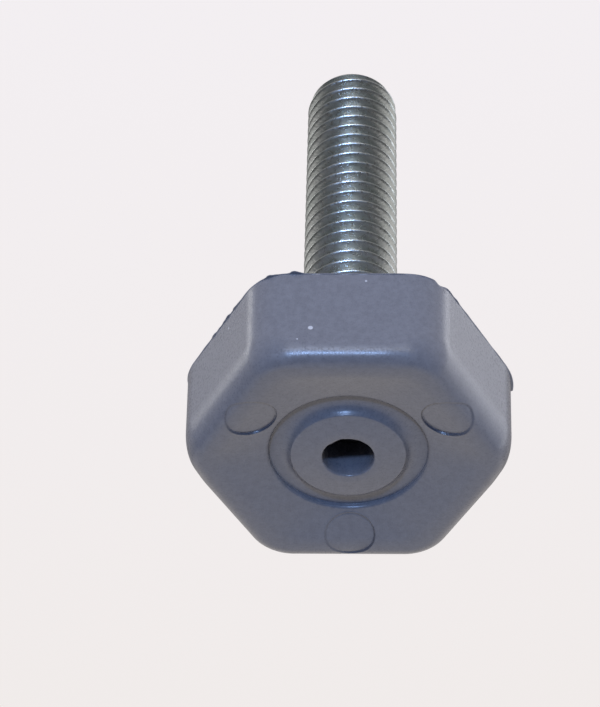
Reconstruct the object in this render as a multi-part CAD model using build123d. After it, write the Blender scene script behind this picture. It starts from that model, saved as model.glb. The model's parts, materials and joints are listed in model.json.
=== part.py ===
from build123d import *
from math import cos, radians, tan
import os

# Levelling foot of an appliance: a moulded hexagon body closed around the head of a threaded stud.
# Millimetres. +Z is the stud's axis, Z = 0 is the standing plane and two hexagon corners are on the X axis.

# Hexagon body
rim_flats = 23.8            # across the flats at the rim, the widest place, for a 24 mm spanner
body_height = 9.1           # from the standing plane to the rim on the stud side
wall_draft = 1.0            # degrees, the wall narrows from the rim to the foot
corner_radius = 4.1         # rounded corners of the hexagon at the rim
foot_edge_radius = 1.5      # round between the wall and the standing face

# Dish of the underside: hexagonal at its mouth, round where it meets the groove
land_width = 0.65           # flat standing face at the middle of each flat
dish_slope = 19.0           # degrees, at the middle of each flat
dish_corner_radius = 1.8    # rounded corners of the dish's mouth

# Round groove and the low boss inside it
groove_radius = 6.32        # outer wall of the groove
groove_width = 1.74         # from that wall to the edge of the boss's face
groove_depth = 0.37         # from the dish at the groove's lip to the groove's floor
boss_height = 1.11          # from the groove's floor to the boss's highest ring
boss_ring_width = 0.72      # level ring round the pin hole
boss_ring_round = 3.6       # soft bend from the ring to the sloping face
boss_fall = 7.0             # degrees, the boss's face slopes away from its ring
boss_edge_round = 0.45      # soft edge of the boss's face
boss_side = 57.0            # degrees, slope of the boss's side
boss_cove = 1.05            # hollow round between the boss's side and the groove's floor
pin_hole_radius = 2.0       # blind hole left by the pin that holds the bolt in the mould
pin_hole_bevel = 0.3        # softened mouth of the hole

# Ejector pin marks
mark_radius = 2.0
mark_overlap = 0.55         # how far a mark reaches over the round of the foot's edge
mark_depth = 0.12           # below the dish and the standing face
mark_count = 3

# Threaded stud, an M8 bolt. The thread's outside is a plain cylinder here
stud_radius = 3.94          # a little under 4, as the outside of a real M8 thread is
neck_radius = 3.6           # plain neck under the head, where the rolled thread runs out
neck_out = 0.75             # the full thread starts this far above the rim face
stud_out = 35.45            # length that stands out of the body
tip_narrowing = 0.6         # how much smaller the flat end's radius is
tip_length = 1.8            # rounded lead of the tip
head_flats = 13.0           # hexagon head, moulded in
head_height = 4.0
head_cover = 1.0            # plastic between the head and the rim face

# Heights along the axis
stud_tip = body_height + stud_out
head_top = body_height - head_cover
head_base = head_top - head_height
thread_start = body_height + neck_out

# Standing face, from the round of the foot's edge in to the dish's mouth
foot_inradius = rim_flats / 2 - body_height * tan(radians(wall_draft))
land_outer = foot_inradius + foot_edge_radius * (tan(radians(wall_draft)) - 1 / cos(radians(wall_draft)))
dish_mouth = land_outer - land_width
mark_circle = land_outer + mark_overlap - mark_radius

# Groove and boss, measured from the dish
groove_lip = (dish_mouth - groove_radius) * tan(radians(dish_slope))
groove_floor = groove_lip + groove_depth
boss_top = groove_floor - boss_height
boss_radius = groove_radius - groove_width
boss_ring_radius = pin_hole_radius + boss_ring_width
boss_edge_height = boss_top + (boss_radius - boss_ring_radius) * tan(radians(boss_fall))
boss_foot_radius = boss_radius + (groove_floor - boss_edge_height) / tan(radians(boss_side))


def hexagon(flats):
    """Hexagon with two corners on the X axis."""
    return RegularPolygon(flats / 2, 6, major_radius=False)


def upright(radius, low, high):
    """Cylinder on the stud's axis between two heights."""
    return Pos(0, 0, (low + high) / 2) * Cylinder(radius, high - low)


def make_stud():
    """Bolt: hexagon head, neck, thread and rounded tip."""
    neck_end = (neck_radius, thread_start + neck_radius - stud_radius)
    lead_start = (stud_radius, stud_tip - tip_length)
    tip_edge = (stud_radius - tip_narrowing, stud_tip)
    half_section = make_face(
        Polyline((0, stud_tip), (0, head_base), (neck_radius, head_base), neck_end)
        + Polyline(neck_end, (stud_radius, thread_start), lead_start)
        + TangentArc(lead_start, tip_edge, tangent=(0, 1))
        + Line(tip_edge, (0, stud_tip))
    )
    shank = revolve(Plane.XZ * half_section, Axis.Z)
    head = extrude(Pos(0, 0, head_base) * hexagon(head_flats), head_height)
    return shank + head


def make_dish():
    """Hollow of the underside, from a hexagon mouth to the groove's round lip."""
    mouth = fillet(hexagon(2 * dish_mouth).vertices(), dish_corner_radius)
    return loft([mouth, Pos(0, 0, groove_lip) * Circle(groove_radius)])


def make_groove():
    """Space of the groove, under the boss and in the pin hole, as one turned form."""
    hole_mouth = (pin_hole_radius + pin_hole_bevel, boss_top)
    groove_corner = (groove_radius, groove_floor)
    underside = FilletPolyline(
        hole_mouth,
        (boss_ring_radius, boss_top),
        (boss_radius, boss_edge_height),
        (boss_foot_radius, groove_floor),
        groove_corner,
        radius=[boss_ring_round, boss_edge_round, boss_cove],
    )
    rest = Polyline(
        groove_corner,
        (groove_radius, 0),
        (0, 0),
        (0, head_base),
        (pin_hole_radius, head_base),
        (pin_hole_radius, boss_top + pin_hole_bevel),
        hole_mouth,
    )
    return revolve(Plane.XZ * make_face(underside + rest), Axis.Z)


def make_body(stud):
    """Hexagon body with its moulded underside, closed around the stud's head."""
    rim = fillet(hexagon(rim_flats).vertices(), corner_radius)
    body = extrude(Pos(0, 0, body_height) * rim, body_height, dir=(0, 0, -1), taper=wall_draft)
    body = fillet(body.faces().sort_by(Axis.Z)[0].edges(), foot_edge_radius)

    # Dish, groove and boss
    dish = make_dish()
    body -= dish - upright(groove_radius, 0, groove_lip)
    body -= make_groove()

    # Ejector marks follow the dish and the standing face
    sunk = Pos(0, 0, mark_depth) * (dish + upright(rim_flats, -mark_depth, 0))
    for place in PolarLocations(mark_circle, mark_count, start_angle=90):
        body -= (place * Cylinder(mark_radius, 2 * body_height)) & sunk
    return body - stud


threaded_stud = make_stud()
foot_body = make_body(threaded_stud)

os.makedirs("parts", exist_ok=True)
export_step(foot_body, "parts/foot_body.step")
export_step(threaded_stud, "parts/threaded_stud.step")
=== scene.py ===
# Levelling foot of an appliance, seen from below: a moulded hexagon on a threaded steel stud.
# Sizes in this file are millimetres, +Z runs up the stud and Z = 0 is the standing plane.
import json
import math
import bmesh
import bpy
import numpy as np
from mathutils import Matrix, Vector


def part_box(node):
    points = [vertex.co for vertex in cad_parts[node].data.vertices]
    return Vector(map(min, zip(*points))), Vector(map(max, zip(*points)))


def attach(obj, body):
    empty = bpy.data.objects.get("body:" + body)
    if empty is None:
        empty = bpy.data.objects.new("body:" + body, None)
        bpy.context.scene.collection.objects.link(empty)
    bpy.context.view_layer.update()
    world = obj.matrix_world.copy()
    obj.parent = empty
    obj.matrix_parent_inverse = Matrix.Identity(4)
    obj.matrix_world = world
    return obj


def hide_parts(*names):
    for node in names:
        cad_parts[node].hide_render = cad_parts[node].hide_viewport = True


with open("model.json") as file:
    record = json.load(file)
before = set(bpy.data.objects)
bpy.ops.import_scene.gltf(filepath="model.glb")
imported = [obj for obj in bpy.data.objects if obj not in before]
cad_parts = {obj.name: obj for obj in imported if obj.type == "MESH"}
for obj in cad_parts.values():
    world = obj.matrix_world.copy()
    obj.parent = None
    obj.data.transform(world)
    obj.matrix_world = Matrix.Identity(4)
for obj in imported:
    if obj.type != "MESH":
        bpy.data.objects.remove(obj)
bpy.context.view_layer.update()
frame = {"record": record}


# Threaded stud: an M8 bolt of carbon steel, cold headed, with a rolled right-hand coarse thread and a
# rounded tip. It is plated with bright zinc. Its hexagon head lies inside the plastic, which is moulded
# around it.
MM = 0.001
FULL_TURN = 2 * math.pi

stud_bottom, stud_top = (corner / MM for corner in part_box("threaded_stud"))
stud_mount = next(mount for mount in frame["record"]["mounts"] if mount["name"] == "stud")
thread_radius = stud_mount["dims"]["r_mm"]
thread_middle = stud_mount["pos_m"][2] / MM
thread_start = thread_middle - stud_mount["dims"]["length_mm"] / 2
lead_start = thread_middle + stud_mount["dims"]["length_mm"] / 2

thread_pitch = 1.25
thread_depth = 0.61 * thread_pitch     # as on any metric bolt
crest_height = 30.7         # one crest's height on the side that faces the camera
crest_angle = math.radians(-87.9)
neck_radius = 3.6           # plain neck under the head, where the thread runs out
head_height = 4.0
head_top = stud_bottom.z + head_height
head_flat = (stud_top.y - stud_bottom.y) / 2
head_face_margin = 0.01     # faces this close to the head's lowest plane are its face
tip_narrowing = 0.6
tip_length = stud_top.z - lead_start
lead_turns = 7              # turns at the tip that are drawn finer, where the lead cuts the thread
lead_steps = 32
stud_columns = 120
stud_crease = 40            # degrees; edges that turn more stay sharp
weld_distance = 0.0005      # points of a mesh that are closer than this become one

# One pitch of the rolled profile, as (place along the pitch, share of the thread's depth): round root,
# 30 degree flanks and a soft round crest
thread_profile = (
    (0.0, 0.0), (0.06, 0.015), (0.12, 0.07), (0.17, 0.18),
    (0.34, 0.74), (0.38, 0.85), (0.42, 0.93), (0.46, 0.98),
    (0.5, 1.0),
    (0.54, 0.98), (0.58, 0.93), (0.62, 0.85), (0.66, 0.74),
    (0.83, 0.18), (0.88, 0.07), (0.94, 0.015), (1.0, 0.0),
)


def round_points(reach, angle, height):
    """Points round the stud's axis; reach and height are one number or one for each angle."""
    return np.stack([reach * np.cos(angle), reach * np.sin(angle), height + 0 * angle], axis=1)


def skin(name, rows, sharp_angle):
    """Mesh object with quads between rows of points; edges past an angle in degrees are sharp."""
    points = np.array(rows)
    row_count, column_count = points.shape[:2]
    index = np.arange(row_count * column_count).reshape(row_count, column_count)
    quads = np.stack([index[:-1, :-1], index[:-1, 1:], index[1:, 1:], index[1:, :-1]], axis=2)
    mesh = bpy.data.meshes.new(name)
    mesh.from_pydata((points.reshape(-1, 3) * MM).tolist(), [], quads.reshape(-1, 4).tolist())
    shape = bmesh.new()
    shape.from_mesh(mesh)
    bmesh.ops.remove_doubles(shape, verts=shape.verts, dist=weld_distance * MM)
    bmesh.ops.recalc_face_normals(shape, faces=shape.faces)
    shape.to_mesh(mesh)
    shape.free()
    mesh.shade_smooth()
    mesh.set_sharp_from_angle(angle=math.radians(sharp_angle))
    piece = bpy.data.objects.new(name, mesh)
    bpy.context.scene.collection.objects.link(piece)
    return piece


def stud_reach(angle, height):
    """Distance from the axis to the stud's surface, with the thread's run-out and its rounded lead."""
    turns = (height - crest_height) / thread_pitch - (angle - crest_angle) / FULL_TURN
    place, share = np.transpose(thread_profile)
    depth_share = np.interp((turns + 0.5) % 1.0, place, share)
    neck_end = thread_start - (thread_radius - neck_radius)
    crest = np.interp(height, [neck_end, thread_start], [neck_radius, thread_radius])
    full_depth = thread_start + thread_pitch
    root = np.interp(height, [neck_end, full_depth], [neck_radius, thread_radius - thread_depth])
    lead_radius = (tip_length**2 + tip_narrowing**2) / (2 * tip_narrowing)
    into_lead = np.clip(height - lead_start, 0, tip_length)
    lead = thread_radius - lead_radius + np.sqrt(lead_radius**2 - into_lead**2)
    return np.minimum(root + depth_share * (crest - root), lead)


def head_reach(angle):
    """Distance from the axis to the sides of the bolt's hexagon head."""
    return head_flat / np.cos(angle % (math.pi / 3) - math.pi / 6)


def stud_rows():
    """Rows from the head's face to the stud's end; the thread's rows climb one pitch in a turn."""
    angle = np.linspace(0, FULL_TURN, stud_columns + 1)
    rows = [
        round_points(0, angle, stud_bottom.z),
        round_points(head_reach(angle), angle, stud_bottom.z),
        round_points(head_reach(angle), angle, head_top),
    ]
    first_turn = math.floor((head_top - crest_height) / thread_pitch) - 2
    last_turn = math.ceil((stud_top.z - crest_height) / thread_pitch) + 2
    rolled_places = [place for place, share in thread_profile[:-1]]
    lead_places = np.linspace(0, 1, lead_steps, endpoint=False)
    for turn in range(first_turn, last_turn):
        for place in lead_places if turn > last_turn - lead_turns else rolled_places:
            climb = turn + place - 0.5 + (angle - crest_angle) / FULL_TURN
            height = np.clip(crest_height + thread_pitch * climb, head_top, stud_top.z)
            rows.append(round_points(stud_reach(angle, height), angle, height))
    rows.append(round_points(0, angle, stud_top.z))
    return rows


def linear(hex_colour):
    """Linear RGBA of an sRGB hex colour."""
    channels = [int(hex_colour[i:i + 2], 16) / 255 for i in (1, 3, 5)]
    return [c / 12.92 if c <= 0.04045 else ((c + 0.055) / 1.055) ** 2.4 for c in channels] + [1.0]


def add_node(tree, kind, settings=(), inputs=()):
    """Adds a node; inputs are (socket, value or output socket) pairs."""
    node = tree.nodes.new(kind)
    for key, value in dict(settings).items():
        setattr(node, key, value)
    for socket, value in inputs:
        if isinstance(value, bpy.types.NodeSocket):
            tree.links.new(value, node.inputs[socket])
        else:
            node.inputs[socket].default_value = value
    return node


def new_material(name):
    """Material with an empty node tree and its output."""
    material = bpy.data.materials.new(name)
    material.use_nodes = True
    material.node_tree.nodes.clear()
    output = add_node(material.node_tree, "ShaderNodeOutputMaterial")
    return material, material.node_tree, output


# Bright zinc on rolled steel: a clear mirror that is a little milky, with faint blue and green tints of
# its passivation
zinc_material, zinc, zinc_output = new_material("bright_zinc_plated_steel")
zinc_light = linear("#c6c8c8")
zinc_tint = linear("#aab3af")
tint_patch = 2.5            # passivation tints
handling_mark = 0.25        # dulled and uneven spots
handling_depth = 0.045
zinc_dullness = (0.24, 0.38)    # roughness of clear and of dulled spots
zinc_place = add_node(zinc, "ShaderNodeTexCoord").outputs["Object"]
tint_noise = add_node(zinc, "ShaderNodeTexNoise", inputs=[
    ("Vector", zinc_place), ("Scale", 1 / (tint_patch * MM)), ("Detail", 2.0)])
tint_mix = add_node(zinc, "ShaderNodeMix", {"data_type": "RGBA"}, [
    ("Factor", tint_noise.outputs["Fac"]), ("A", zinc_light), ("B", zinc_tint)])
spot_noise = add_node(zinc, "ShaderNodeTexNoise", inputs=[
    ("Vector", zinc_place), ("Scale", 1 / (handling_mark * MM)), ("Detail", 3.0)])
zinc_roughness = add_node(zinc, "ShaderNodeMapRange", inputs=[
    ("Value", spot_noise.outputs["Fac"]), ("From Min", 0.3), ("From Max", 0.7),
    ("To Min", zinc_dullness[0]), ("To Max", zinc_dullness[1])])
zinc_bump = add_node(zinc, "ShaderNodeBump", inputs=[
    ("Height", spot_noise.outputs["Fac"]), ("Strength", 0.5), ("Distance", handling_depth * MM)])
zinc_shader = add_node(zinc, "ShaderNodeBsdfPrincipled", inputs=[
    ("Base Color", tint_mix.outputs["Result"]), ("Metallic", 1.0),
    ("Roughness", zinc_roughness.outputs["Result"]), ("Normal", zinc_bump.outputs["Normal"])])
zinc.links.new(zinc_shader.outputs["BSDF"], zinc_output.inputs["Surface"])

# Painted shade on the head's face, seen only in the pin hole: a dark dull skin there, so that the hole
# stays dark
head_shade_material, head_shade, head_shade_output = new_material("painted_shade_on_head_face")
head_shade_shader = add_node(head_shade, "ShaderNodeBsdfPrincipled", inputs=[
    ("Base Color", linear("#1c1c20")), ("Roughness", 0.7)])
head_shade.links.new(head_shade_shader.outputs["BSDF"], head_shade_output.inputs["Surface"])

stud = skin("zinc_stud", stud_rows(), stud_crease)
stud.data.materials.append(zinc_material)
stud.data.materials.append(head_shade_material)
# the head's face takes the painted shade
for face in stud.data.polygons:
    face.material_index = int(face.center.z < (stud_bottom.z + head_face_margin) * MM)
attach(stud, "root")
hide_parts("threaded_stud")


# Hexagon body: one injection moulding of blue-grey plastic around the bolt's head. The mould parts at
# the rim on the stud's side, where thin ragged flash is left. The hollow underside has a groove, a low
# boss with the hole of the pin that held the bolt, and the marks of three ejector pins.
body_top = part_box("foot_body")[1] / MM
rim_height = body_top.z
rim_flat = body_top.y
wall_draft = math.tan(math.radians(1.0))
rim_corner = 4.1
least_corner = 0.05         # the hexagon's corners keep at least this round
edge_width = 1.5            # round of the foot's edge, from the wall's foot in to the standing rim
edge_height = 1.5           # height of that round
tall_edge_height = 3.2      # the same on the two walls over the deeper ejector marks
tall_edge_angles = (210, 330)
tall_edge_spread = (47, 25)     # degrees from those angles to the plain round, and with the full height
rim_width = 0.65            # standing rim, out from where the dish's slope would start if it had no bend
dish_slope = math.tan(math.radians(17.0))
dish_bend = 3.3
groove_radius = 6.3
groove_depth = 0.37
lip_round = 0.3
groove_corner_round = 0.02
boss_height = 0.92          # from the groove's floor to the boss's highest ring, round its hole
boss_ring = 2.72            # radius of that ring
boss_ring_round = 3.6
boss_fall = math.tan(math.radians(7.0))
boss_edge = 4.56
boss_edge_round = 0.18
boss_side = math.tan(math.radians(62.0))
boss_cove = 1.05
hole_radius = 2.06
hole_round = 0.18
hole_nicks = ((256, 7, 0.08), (234, 16, -0.07))     # angle, spread and depth of its uneven mouth
hole_wave = 0.02
mark_radius = 2.0
mark_overlap = 0.55         # how far a mark reaches over the round of the foot's edge
mark_pins = (               # angle, reach past the mark circle, depth in the middle, lean along X and Y
    (89.4, 0.0, 0.07, 0.035, 0.01),
    (211.6, 0.1, 0.09, 0.01, 0.03),
    (328.8, 0.25, 0.09, -0.01, 0.03),
)
mark_edge = 0.08            # width of a mark's step
mark_lip = 0.025            # plastic pushed up round a mark
mark_lip_spread = 0.8 * mark_edge
mark_rut = 0.03             # narrow rut inside a mark's step
mark_rut_spread = 0.7 * mark_edge
flash_thickness = 0.07
flash_root = 1.3 * flash_thickness      # below the rim face, where the fin leaves the wall
wall_end = 2 * flash_thickness          # below the rim face, where the plain wall ends
flash_left = 0.02           # width that trimming left all round
flash_wave = 0.03           # how uneven that is
flash_torn = (              # angle, spread and width of the torn stretches
    (251, 4, 0.3),
    (242.5, 3, 0.25),
    (215, 22, 0.1),
    (310, 14, 0.06),
)
hook_middle = -1.0          # degrees from the +X corner: a stretch of flash that widens to a torn end
hook_half = 5.6             # degrees
hook_growth = 0.028         # width for each degree
chip_angle = 304            # small chip out of the rim
chip_spread = 3.5
chip_width = 0.25
chip_height = 0.3
chip_lip = 0.28             # height of the chip at the rim's outside
rim_band = 0.1              # narrow band of the rim face beside the flash
neck_hold = neck_radius - 0.1   # the plastic reaches a little into the bolt's neck
shade_by_depth = 0.15        # painted shade round a mark grows with its depth, as a share of this
shade_round_mark = (0.5, 0.9)    # least and most painted shade there
shade_line = 0.06            # width of the painted shade line round a mark
# painted shade on the pin hole's wall, past its round mouth
painted_shade_in_hole = 0.45
shade_past_hole = 0.1        # how far out the hole's painted shade reaches
# painted shade along the groove's lip, strongest on the -Y side
painted_shade_on_lip = 0.8
shade_past_lip = 0.1         # from the groove's wall out to the middle of the lip's painted shade
shade_lip_spread = 0.12
rub_highlight_strength = 0.8          # rubbed stretch along the front of the foot's edge, partly real scuffs and partly a painted highlight where the lamp's highlight falls
rub_highlight_middle = -1.0
rub_highlight_half = 4.5
rub_highlight_height = 0.8
rub_highlight_spread = 0.24
arc_least = 4               # points on even the smallest arc of the section
arc_step = 7                # degrees of half an arc for each further point
dish_rows = 90
edge_rows = 31
wall_rows = 10
rim_face_rows = 7
body_columns = 480
column_crowding = 0.15      # columns crowd at the ejector marks
body_crease = 50            # degrees

wall_foot = rim_flat - rim_height * wall_draft
rim_outer = wall_foot + edge_width * (wall_draft - math.hypot(1, wall_draft))
dish_corner = rim_outer - rim_width
dish_mouth = dish_corner + dish_bend * math.tan(math.atan(dish_slope) / 2)
groove_lip = (dish_corner - groove_radius) * dish_slope
groove_floor = groove_lip + groove_depth
boss_top = groove_floor - boss_height
boss_edge_height = boss_top + (boss_edge - boss_ring) * boss_fall
boss_foot = boss_edge + (groove_floor - boss_edge_height) / boss_side
mark_circle = rim_outer + mark_overlap - mark_radius
even_angle = np.linspace(0, FULL_TURN, body_columns + 1)
body_angle = even_angle - column_crowding * np.sin(3 * (even_angle - math.pi / 2))


def hexagon_reach(flat):
    """Distance from the axis to the rounded hexagon with flats this far out and fixed corner centres."""
    corner = np.maximum(rim_corner - (rim_flat - flat), least_corner)
    from_flat = np.abs(body_angle % (math.pi / 3) - math.pi / 6)
    corner_centre = (flat - corner) / math.cos(math.pi / 6)
    from_corner = math.pi / 6 - from_flat
    straight = flat / np.cos(from_flat)
    bend = np.sqrt(np.maximum(corner**2 - (corner_centre * np.sin(from_corner)) ** 2, 0))
    on_bend = flat * np.tan(from_flat) > (flat - corner) * math.tan(math.pi / 6)
    return np.where(on_bend, corner_centre * np.cos(from_corner) + bend, straight)


def rounded_section(corners):
    """Points of a section through (reach, height, round) corners, with an arc at each inner corner."""
    points = [np.array(corners[0][:2])]
    for before, here, after in zip(corners, corners[1:], corners[2:]):
        corner = np.array(here[:2])
        back = np.array(before[:2]) - corner
        ahead = np.array(after[:2]) - corner
        back /= np.linalg.norm(back)
        ahead /= np.linalg.norm(ahead)
        half_angle = math.acos(back @ ahead) / 2
        inward = (back + ahead) / np.linalg.norm(back + ahead)
        centre = corner + inward * here[2] / math.sin(half_angle)
        from_middle = math.pi / 2 - half_angle
        across = np.array([-inward[1], inward[0]])
        across *= math.copysign(1, across @ ahead)
        arc_points = arc_least + round(math.degrees(from_middle) / arc_step)
        for turn in np.linspace(-from_middle, from_middle, arc_points):
            points.append(centre + here[2] * (across * math.sin(turn) - inward * math.cos(turn)))
    return points


def dish_height(flat):
    """Height of the underside this far out on a flat: a slope that bends into the standing plane."""
    inside = max(dish_mouth - flat, 0)
    if inside > dish_bend * math.sin(math.atan(dish_slope)):
        return (dish_corner - flat) * dish_slope
    return dish_bend - math.sqrt(dish_bend**2 - inside**2)


def smooth_step(value):
    """0 to 1 with soft ends."""
    value = np.clip(value, 0, 1)
    return value * value * (3 - 2 * value)


def mark_places(points):
    """For each ejector mark, every point's distance from its middle and its leaning floor's depth."""
    for degrees, past, depth, lean_x, lean_y in mark_pins:
        turn = math.radians(degrees)
        offset = points[:, :2] - (mark_circle + past) * np.array([math.cos(turn), math.sin(turn)])
        yield np.linalg.norm(offset, axis=1), depth + offset @ np.array([lean_x, lean_y])


def mark_sink(points):
    """How far the ejector marks take each point into the body."""
    sink = np.zeros(len(points))
    for away, floor_depth in mark_places(points):
        sink += floor_depth * smooth_step((mark_radius + mark_edge / 2 - away) / mark_edge)
        sink += mark_rut * np.exp(-((away - mark_radius + mark_edge) / mark_rut_spread) ** 2)
        sink -= mark_lip * np.exp(-((away - mark_radius - mark_edge) / mark_lip_spread) ** 2)
    return sink


def near_angle(degrees, width, level=0):
    """1 up to a level distance from an angle round the axis, falling to 0 at a width, all in degrees."""
    away = np.abs((np.degrees(body_angle) - degrees + 180) % 360 - 180)
    return smooth_step((width - away) / (width - level))


def ragged(seed, waves):
    """Repeatable uneven values from 0 to 1 round the axis."""
    dice = np.random.default_rng(seed)
    total = np.zeros_like(body_angle)
    for count in waves:
        total += np.sin(count * body_angle + dice.uniform(0, FULL_TURN)) * dice.uniform(0.5, 1.0)
    return np.clip(0.5 + total / len(waves), 0, 1)


def body_rows():
    """Rows from the pin hole over the underside, the wall and the rim face back to the bolt's space."""
    angle = body_angle
    hole_burr = hole_wave * (ragged(3, (9, 14, 23)) - 0.5)
    for degrees, spread, depth in hole_nicks:
        hole_burr += depth * near_angle(degrees, spread)

    # Pin hole, boss, groove and the groove's lip are round
    lip_out = groove_radius + 2 * lip_round
    section = rounded_section([
        (hole_radius, stud_bottom.z, 0),
        (hole_radius, boss_top, hole_round),
        (boss_ring, boss_top, boss_ring_round),
        (boss_edge, boss_edge_height, boss_edge_round),
        (boss_foot, groove_floor, boss_cove),
        (groove_radius, groove_floor, groove_corner_round),
        (groove_radius, groove_lip, lip_round),
        (lip_out, dish_height(lip_out), 0),
    ])
    rows = []
    for reach, height in section:
        burr = hole_burr * smooth_step((hole_radius + hole_round - reach) / hole_round)
        rows.append(round_points(reach + burr, angle, height))
    dish_start = section[-1][0]

    # Dish, which turns from round to hexagonal, and the round of the foot's edge, with the ejector marks
    underside = []
    dish_end = hexagon_reach(rim_outer)
    for share in np.linspace(0, 1, dish_rows)[1:]:
        height = dish_height(dish_start + share * (rim_outer - dish_start))
        underside.append(round_points(dish_start + share * (dish_end - dish_start), angle, height))
    over_marks = sum(near_angle(degrees, *tall_edge_spread) for degrees in tall_edge_angles)
    round_top = edge_height + (tall_edge_height - edge_height) * over_marks
    round_width = wall_foot + round_top * wall_draft - rim_outer
    for turn in np.linspace(0, math.pi / 2, edge_rows)[1:]:
        reach = hexagon_reach(rim_outer + round_width * math.sin(turn))
        underside.append(round_points(reach, angle, round_top * (1 - math.cos(turn))))
    for points in underside:
        points[:, 2] += mark_sink(points)
    rows += underside

    # Drafted wall, up to the rim and the small chip that is out of it
    chip = near_angle(chip_angle, chip_spread)
    wall_top = rim_height - wall_end - chip_height * chip
    for share in np.linspace(0, 1, wall_rows)[1:]:
        height = round_top + share * (wall_top - round_top)
        rows.append(round_points(hexagon_reach(wall_foot + height * wall_draft), angle, height))

    # Flash at the rim: a thin fin, mostly trimmed, with a few torn stretches left
    torn = sum(width * near_angle(degrees, spread) for degrees, spread, width in flash_torn)
    past_hook = (np.degrees(angle) + 180) % 360 - 180 - hook_middle
    hook = np.where(np.abs(past_hook) < hook_half, hook_growth * (past_hook + hook_half), 0)
    fin = flash_left + flash_wave * ragged(5, (17, 31, 44)) + torn * ragged(8, (40, 63, 90))
    fin += hook - chip_width * chip
    rim_reach = hexagon_reach(rim_flat)
    rows += [
        round_points(rim_reach, angle, rim_height - flash_root - chip_lip * chip),
        round_points(rim_reach + fin, angle, rim_height - flash_thickness),
        round_points(rim_reach + fin, angle, rim_height),
    ]

    # Rim face, the bolt's neck and the space of its head
    for share in np.linspace(0, 1, rim_face_rows):
        reach = (1 - share) * (rim_reach - rim_band - chip_width * chip) + share * neck_hold
        rows.append(round_points(reach, angle, rim_height))
    rows += [
        round_points(neck_hold, angle, head_top),
        round_points(head_reach(angle), angle, head_top),
        round_points(head_reach(angle), angle, stud_bottom.z),
        rows[0],
    ]
    return rows


def body_tone(points):
    """Below 0 for painted shade in the hole, on the groove's lip and round marks, above 0 for the rubbed
    front edge, which is partly a painted highlight.
    """
    reach = np.hypot(points[:, 0], points[:, 1])
    height = points[:, 2]
    under = height < edge_height
    tone = np.zeros(len(points))
    # painted shade: a dark line round each ejector mark, darker where its floor lies deeper
    for away, floor_depth in mark_places(points):
        mark_shade = np.clip(floor_depth / shade_by_depth, *shade_round_mark)
        tone -= under * mark_shade * np.exp(-((away - mark_radius) / shade_line) ** 2)
    # painted shade inside the pin hole
    tone -= painted_shade_in_hole * ((reach < hole_radius + shade_past_hole) & (height > boss_top + hole_round))
    # painted shade along the groove's lip, fading out towards +Y
    lip_shade = smooth_step(0.5 - points[:, 1] / groove_radius)
    from_lip = reach - groove_radius - shade_past_lip
    tone -= painted_shade_on_lip * under * lip_shade * np.exp(-(from_lip / shade_lip_spread) ** 2)
    # rubbed front edge: partly scuffs, partly a painted highlight
    front_edge = under & (reach > rim_outer) & (points[:, 1] < 0)
    across = np.exp(-((points[:, 0] - rub_highlight_middle) / rub_highlight_half) ** 4)
    tone += rub_highlight_strength * front_edge * across * np.exp(-((height - rub_highlight_height) / rub_highlight_spread) ** 2)
    return tone


# Moulded blue-grey plastic: satin skin copied from a fine spark-worn mould, so broad soft gloss with a
# faint grain; painted shade in the pin hole, on the groove's lip and round the ejector marks, a rubbed
# front edge that is partly a painted highlight, and a few dust specks on it
plastic_material, plastic, plastic_output = new_material("moulded_blue_grey_plastic")
plastic_colour = linear("#737379")
plastic_pale = linear("#7c7c82")
# painted shade in the pin hole, on the groove's lip and round the ejector marks
painted_shade_colour = linear("#3c3c46")
# pale colour of the rubbed front edge, partly a painted highlight
rub_highlight_colour = linear("#a2a2a8")
dust_colour = linear("#c9c9cc")
plastic_dullness = (0.24, 0.34)     # roughness of smoother and of rougher spots
grain_size = 0.16           # mould grain, a few times coarser than real grain, which wouldn't show
grain_depth = 0.02
cloud_size = 0.45           # uneven colour of the melt
rub_size = 0.2              # rubbed spots
dust_specks = (             # place and radius
    ((-2.88, -11.79, 3.07), 0.2),
    ((1.39, -11.89, 8.28), 0.1),
    ((-9.52, -7.25, 7.7), 0.1),
    ((-3.89, -11.77, 1.84), 0.07),
)
plastic_place = add_node(plastic, "ShaderNodeTexCoord").outputs["Object"]
cloud_noise = add_node(plastic, "ShaderNodeTexNoise", inputs=[
    ("Vector", plastic_place), ("Scale", 1 / (cloud_size * MM)), ("Detail", 5.0)])
cloud_share = add_node(plastic, "ShaderNodeMapRange", inputs=[
    ("Value", cloud_noise.outputs["Fac"]), ("From Min", 0.35), ("From Max", 0.65)])
melt_mix = add_node(plastic, "ShaderNodeMix", {"data_type": "RGBA"}, [
    ("Factor", cloud_share.outputs["Result"]), ("A", plastic_colour), ("B", plastic_pale)])
rub_noise = add_node(plastic, "ShaderNodeTexNoise", inputs=[
    ("Vector", plastic_place), ("Scale", 1 / (rub_size * MM)), ("Detail", 3.0)])
plastic_tone = add_node(plastic, "ShaderNodeAttribute", {"attribute_name": "tone"}).outputs["Fac"]
# painted shade: darker colour where the tone falls below 0
painted_shade_share = add_node(plastic, "ShaderNodeMapRange", inputs=[
    ("Value", plastic_tone), ("From Min", 0.0), ("From Max", -1.0)])
painted_shade_mix = add_node(plastic, "ShaderNodeMix", {"data_type": "RGBA"}, [
    ("Factor", painted_shade_share.outputs["Result"]), ("A", melt_mix.outputs["Result"]), ("B", painted_shade_colour)])
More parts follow.
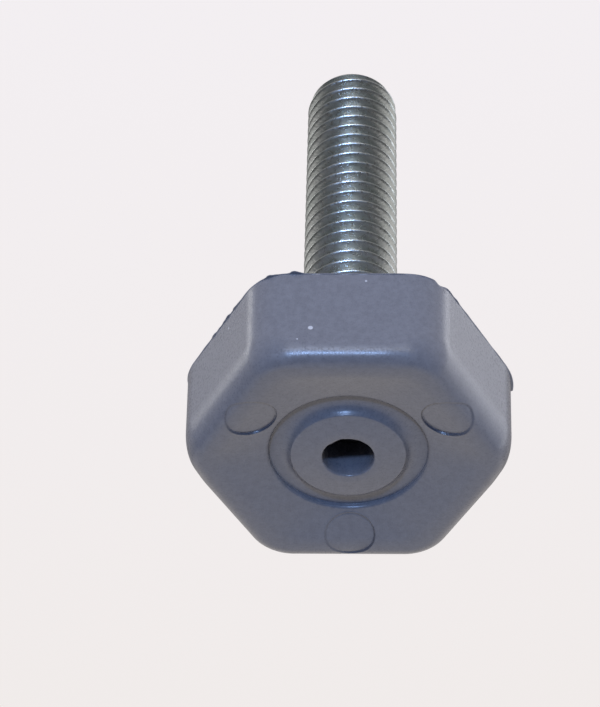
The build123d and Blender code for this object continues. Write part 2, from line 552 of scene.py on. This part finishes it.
# rubbed front edge, paler where the tone rises above 0: partly scuffs, partly a painted highlight
rub_highlight_spots = add_node(plastic, "ShaderNodeMapRange", inputs=[
    ("Value", rub_noise.outputs["Fac"]), ("From Min", 0.42), ("From Max", 0.62)])
rub_highlight_share = add_node(plastic, "ShaderNodeMath", {"operation": "MULTIPLY", "use_clamp": True}, [
    (0, rub_highlight_spots.outputs["Result"]), (1, plastic_tone)])
plastic_mix = add_node(plastic, "ShaderNodeMix", {"data_type": "RGBA"}, [
    ("Factor", rub_highlight_share.outputs["Value"]), ("A", painted_shade_mix.outputs["Result"]), ("B", rub_highlight_colour)])
for place, radius in dust_specks:
    speck_away = add_node(plastic, "ShaderNodeVectorMath", {"operation": "DISTANCE"}, [
        (0, plastic_place), (1, Vector(place) * MM)])
    speck_share = add_node(plastic, "ShaderNodeMapRange", inputs=[
        ("Value", speck_away.outputs["Value"]),
        ("From Min", 1.1 * radius * MM), ("From Max", 0.8 * radius * MM)])
    plastic_mix = add_node(plastic, "ShaderNodeMix", {"data_type": "RGBA"}, [
        ("Factor", speck_share.outputs["Result"]),
        ("A", plastic_mix.outputs["Result"]), ("B", dust_colour)])
plastic_roughness = add_node(plastic, "ShaderNodeMapRange", inputs=[
    ("Value", rub_noise.outputs["Fac"]), ("From Min", 0.3), ("From Max", 0.7),
    ("To Min", plastic_dullness[0]), ("To Max", plastic_dullness[1])])
grain_noise = add_node(plastic, "ShaderNodeTexNoise", inputs=[
    ("Vector", plastic_place), ("Scale", 1 / (grain_size * MM)), ("Detail", 2.0)])
grain_bump = add_node(plastic, "ShaderNodeBump", inputs=[
    ("Height", grain_noise.outputs["Fac"]), ("Strength", 0.35), ("Distance", grain_depth * MM)])
plastic_shader = add_node(plastic, "ShaderNodeBsdfPrincipled", inputs=[
    ("Base Color", plastic_mix.outputs["Result"]), ("Roughness", plastic_roughness.outputs["Result"]),
    ("Normal", grain_bump.outputs["Normal"])])
plastic.links.new(plastic_shader.outputs["BSDF"], plastic_output.inputs["Surface"])

body = skin("moulded_body", body_rows(), body_crease)
body.data.materials.append(plastic_material)
body_points = np.array([vertex.co for vertex in body.data.vertices]) / MM
body.data.attributes.new("tone", "FLOAT", "POINT").data.foreach_set("value", body_tone(body_points))
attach(body, "root")
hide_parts("foot_body")


# Stage: a pale floor just under the standing plane. It shows from above only, so that the underside is
# open to the camera and the light below it, and it fades into the backdrop away from the object.
floor_size = 2500.0
floor_drop = 0.1
floor_fade = (60.0, 320.0)
floor_colour = linear("#c9c6c6")
backdrop_pale = linear("#f3eff2")
backdrop_warm = linear("#f0ebe9")
backdrop_change = (0.6, 0.8)    # sine of the line of sight's height, where warm goes over to pale

floor_material, floor_tree, floor_output = new_material("pale_matt_floor")
floor_place = add_node(floor_tree, "ShaderNodeNewGeometry")
floor_away = add_node(floor_tree, "ShaderNodeVectorMath", {"operation": "LENGTH"}, [
    (0, floor_place.outputs["Position"])])
floor_share = add_node(floor_tree, "ShaderNodeMapRange", {"interpolation_type": "SMOOTHSTEP"}, [
    ("Value", floor_away.outputs["Value"]),
    ("From Min", floor_fade[0] * MM), ("From Max", floor_fade[1] * MM)])
floor_matt = add_node(floor_tree, "ShaderNodeBsdfDiffuse", inputs=[("Color", floor_colour)])
floor_far = add_node(floor_tree, "ShaderNodeEmission", inputs=[("Color", backdrop_pale)])
floor_look = add_node(floor_tree, "ShaderNodeMixShader", inputs=[
    (0, floor_share.outputs["Result"]),
    (1, floor_matt.outputs["BSDF"]), (2, floor_far.outputs["Emission"])])
floor_path = add_node(floor_tree, "ShaderNodeLightPath")
seen_from_above = add_node(floor_tree, "ShaderNodeMath", {"operation": "SUBTRACT", "use_clamp": True}, [
    (0, floor_path.outputs["Is Camera Ray"]), (1, floor_place.outputs["Backfacing"])])
floor_clear = add_node(floor_tree, "ShaderNodeBsdfTransparent")
floor_mix = add_node(floor_tree, "ShaderNodeMixShader", inputs=[
    (0, seen_from_above.outputs["Value"]),
    (1, floor_clear.outputs["BSDF"]), (2, floor_look.outputs["Shader"])])
floor_tree.links.new(floor_mix.outputs["Shader"], floor_output.inputs["Surface"])

floor_half = floor_size * MM / 2
floor_mesh = bpy.data.meshes.new("floor")
floor_corners = ((-1, -1), (1, -1), (1, 1), (-1, 1))
floor_mesh.from_pydata(
    [(x * floor_half, y * floor_half, -floor_drop * MM) for x, y in floor_corners],
    [], [(0, 1, 2, 3)])
floor = bpy.data.objects.new("floor", floor_mesh)
floor.data.materials.append(floor_material)
bpy.context.scene.collection.objects.link(floor)


# Light: a white light table along the +Y side and a white sweep above, both bright, and a dim room on
# the camera's side, with a cool lamp and five softboxes. The camera sees an even pale backdrop, and so
# do mirror images, where it is fainter away from the table.
table_side = (0.0, 0.976, 0.217)
table_near = (0.0, 0.85, -0.53)     # the table's brightest place in mirror images
table_light = linear("#fff9f6")
table_strength = 1.1
sweep_light = linear("#f6f5ff")
sweep_strength = 1.0
room_light = linear("#c8d4ff")
room_strength = 0.05
sweep_mirror = 0.4          # the backdrop's strength in mirror images of the sweep and of the dim room
room_mirror = 0.12
light_edge = (-0.05, 0.25)  # sine of the angle past their edges, where table and sweep fade in
mirror_edge = (0.3, 0.65)   # cosine of the angle from table_near, where the table's image fades in
lamp_colour = linear("#a2c5ff")
lamp_strength = 1.85
lamp_spread = 6.0           # degrees
lamp_height = -25.8         # degrees below the standing plane's level, on the -Y side
lamp_turn = -6.0            # degrees to the left of the camera's side
softbox_distance = 600.0

world = bpy.data.worlds.new("studio")
world.use_nodes = True
bpy.context.scene.world = world
sky = world.node_tree
sky.nodes.clear()
sky_way = add_node(sky, "ShaderNodeTexCoord").outputs["Generated"]
sky_parts = add_node(sky, "ShaderNodeSeparateXYZ", inputs=[("Vector", sky_way)])
toward_table = add_node(sky, "ShaderNodeVectorMath", {"operation": "DOT_PRODUCT"}, [
    (0, sky_way), (1, table_side)])
table_edge = add_node(sky, "ShaderNodeMapRange", {"interpolation_type": "SMOOTHSTEP"}, [
    ("Value", toward_table.outputs["Value"]), ("From Min", light_edge[0]), ("From Max", light_edge[1])])
sweep_edge = add_node(sky, "ShaderNodeMapRange", {"interpolation_type": "SMOOTHSTEP"}, [
    ("Value", sky_parts.outputs["Z"]), ("From Min", light_edge[0]), ("From Max", light_edge[1])])
dim_light = add_node(sky, "ShaderNodeBackground", inputs=[
    ("Color", room_light), ("Strength", room_strength)])
under_light = add_node(sky, "ShaderNodeBackground", inputs=[
    ("Color", table_light), ("Strength", table_strength)])
over_light = add_node(sky, "ShaderNodeBackground", inputs=[
    ("Color", sweep_light), ("Strength", sweep_strength)])
low_light = add_node(sky, "ShaderNodeMixShader", inputs=[
    (0, table_edge.outputs["Result"]),
    (1, dim_light.outputs["Background"]), (2, under_light.outputs["Background"])])
studio_light = add_node(sky, "ShaderNodeMixShader", inputs=[
    (0, sweep_edge.outputs["Result"]),
    (1, low_light.outputs["Shader"]), (2, over_light.outputs["Background"])])

sky_path = add_node(sky, "ShaderNodeLightPath")
sweep_share = add_node(sky, "ShaderNodeMapRange", inputs=[
    ("Value", sweep_edge.outputs["Result"]), ("To Min", room_mirror), ("To Max", sweep_mirror)])
table_mirror = add_node(sky, "ShaderNodeVectorMath", {"operation": "DOT_PRODUCT"}, [
    (0, sky_way), (1, table_near)])
table_share = add_node(sky, "ShaderNodeMapRange", {"interpolation_type": "SMOOTHSTEP"}, [
    ("Value", table_mirror.outputs["Value"]),
    ("From Min", mirror_edge[0]), ("From Max", mirror_edge[1])])
mirrored = add_node(sky, "ShaderNodeMath", {"operation": "MAXIMUM"}, [
    (0, sweep_share.outputs["Result"]), (1, table_share.outputs["Result"])])
backdrop_strength = add_node(sky, "ShaderNodeMath", {"operation": "MAXIMUM"}, [
    (0, mirrored.outputs["Value"]), (1, sky_path.outputs["Is Camera Ray"])])
backdrop_share = add_node(sky, "ShaderNodeMapRange", inputs=[
    ("Value", sky_parts.outputs["Z"]), ("From Min", backdrop_change[0]), ("From Max", backdrop_change[1])])
backdrop_mix = add_node(sky, "ShaderNodeMix", {"data_type": "RGBA"}, [
    ("Factor", backdrop_share.outputs["Result"]), ("A", backdrop_warm), ("B", backdrop_pale)])
backdrop = add_node(sky, "ShaderNodeBackground", inputs=[
    ("Color", backdrop_mix.outputs["Result"]), ("Strength", backdrop_strength.outputs["Value"])])
seen_or_mirrored = add_node(sky, "ShaderNodeMath", {"operation": "ADD"}, [
    (0, sky_path.outputs["Is Camera Ray"]), (1, sky_path.outputs["Is Glossy Ray"])])
shows_backdrop = add_node(sky, "ShaderNodeMath", {"operation": "ADD", "use_clamp": True}, [
    (0, seen_or_mirrored.outputs["Value"]), (1, sky_path.outputs["Is Transmission Ray"])])
sky_mix = add_node(sky, "ShaderNodeMixShader", inputs=[
    (0, shows_backdrop.outputs["Value"]),
    (1, studio_light.outputs["Shader"]), (2, backdrop.outputs["Background"])])
add_node(sky, "ShaderNodeOutputWorld", inputs=[("Surface", sky_mix.outputs["Shader"])])


def direction(turn, height):
    """Unit vector from the object, turned from -Y about +Z and lifted, both in degrees."""
    turn, height = math.radians(turn), math.radians(height)
    return Vector((
        math.sin(turn) * math.cos(height),
        -math.cos(turn) * math.cos(height),
        math.sin(height),
    ))


lamp_data = bpy.data.lights.new("cool_lamp", "SUN")
lamp_data.color = lamp_colour[:3]
lamp_data.energy = lamp_strength
lamp_data.angle = math.radians(lamp_spread)
lamp = bpy.data.objects.new("cool_lamp", lamp_data)
lamp.rotation_mode = "QUATERNION"
lamp.rotation_quaternion = direction(lamp_turn, lamp_height).to_track_quat("Z", "Y")
bpy.context.scene.collection.objects.link(lamp)


def hang_softbox(name, turn, height, wide, tall, colour, strength):
    """Softbox seen from the object at this turn and height, this wide and tall, all in degrees."""
    softbox_data = bpy.data.lights.new(name, "AREA")
    softbox_data.shape = "ELLIPSE"
    softbox_data.size = 2 * softbox_distance * MM * math.tan(math.radians(wide / 2))
    softbox_data.size_y = 2 * softbox_distance * MM * math.tan(math.radians(tall / 2))
    softbox_data.color = linear(colour)[:3]
    softbox_data.energy = math.pi * strength * softbox_data.size * softbox_data.size_y
    softbox = bpy.data.objects.new(name, softbox_data)
    softbox.location = softbox_distance * MM * direction(turn, height)
    softbox.rotation_mode = "QUATERNION"
    softbox.rotation_quaternion = direction(turn, height).to_track_quat("Z", "Y")
    softbox.visible_camera = False
    bpy.context.scene.collection.objects.link(softbox)


# Turn and height in degrees, how wide and tall in degrees, colour and strength
hang_softbox("front_softbox", 0, -5, 46, 16, "#fffdfa", 2.3)
hang_softbox("upper_softbox", 0, 13, 34, 26, "#f4f6ff", 0.9)
hang_softbox("right_softbox", 108, 22, 18, 88, "#f4f7ff", 1.45)
hang_softbox("right_strip", 101, 42, 12, 22, "#fdfcff", 0.9)
hang_softbox("left_softbox", -103, 38, 11, 26, "#fffefc", 2.7)


# Camera: a long lens below the standing plane, looking up at the underside, as far round, as low and as
# far away as the photograph's outline gives.
frame_long_side = 707       # pixels
focal_length = 2981         # pixels
sensor = 36.0               # millimetres, along the long side
camera_turn = 2.1
camera_height = -45.7
camera_roll = 1.65
camera_distance = 244.8
camera_target = (-4.06, 0.0, 12.31)
camera_sees = (10, 10000)   # nearest and farthest distance

camera_data = bpy.data.cameras.new("camera")
camera_data.sensor_width = sensor
camera_data.lens = focal_length * sensor / frame_long_side
camera_data.clip_start = camera_sees[0] * MM
camera_data.clip_end = camera_sees[1] * MM
camera = bpy.data.objects.new("camera", camera_data)
camera_back = direction(camera_turn, camera_height)
camera.location = (Vector(camera_target) + camera_distance * camera_back) * MM
camera.rotation_mode = "QUATERNION"
upright = (-camera_back).to_track_quat("-Z", "Y")
camera.rotation_quaternion = (
    upright @ Matrix.Rotation(math.radians(camera_roll), 3, "Z").to_quaternion())
bpy.context.scene.collection.objects.link(camera)
bpy.context.scene.camera = camera
bpy.context.scene.view_settings.view_transform = "Standard"
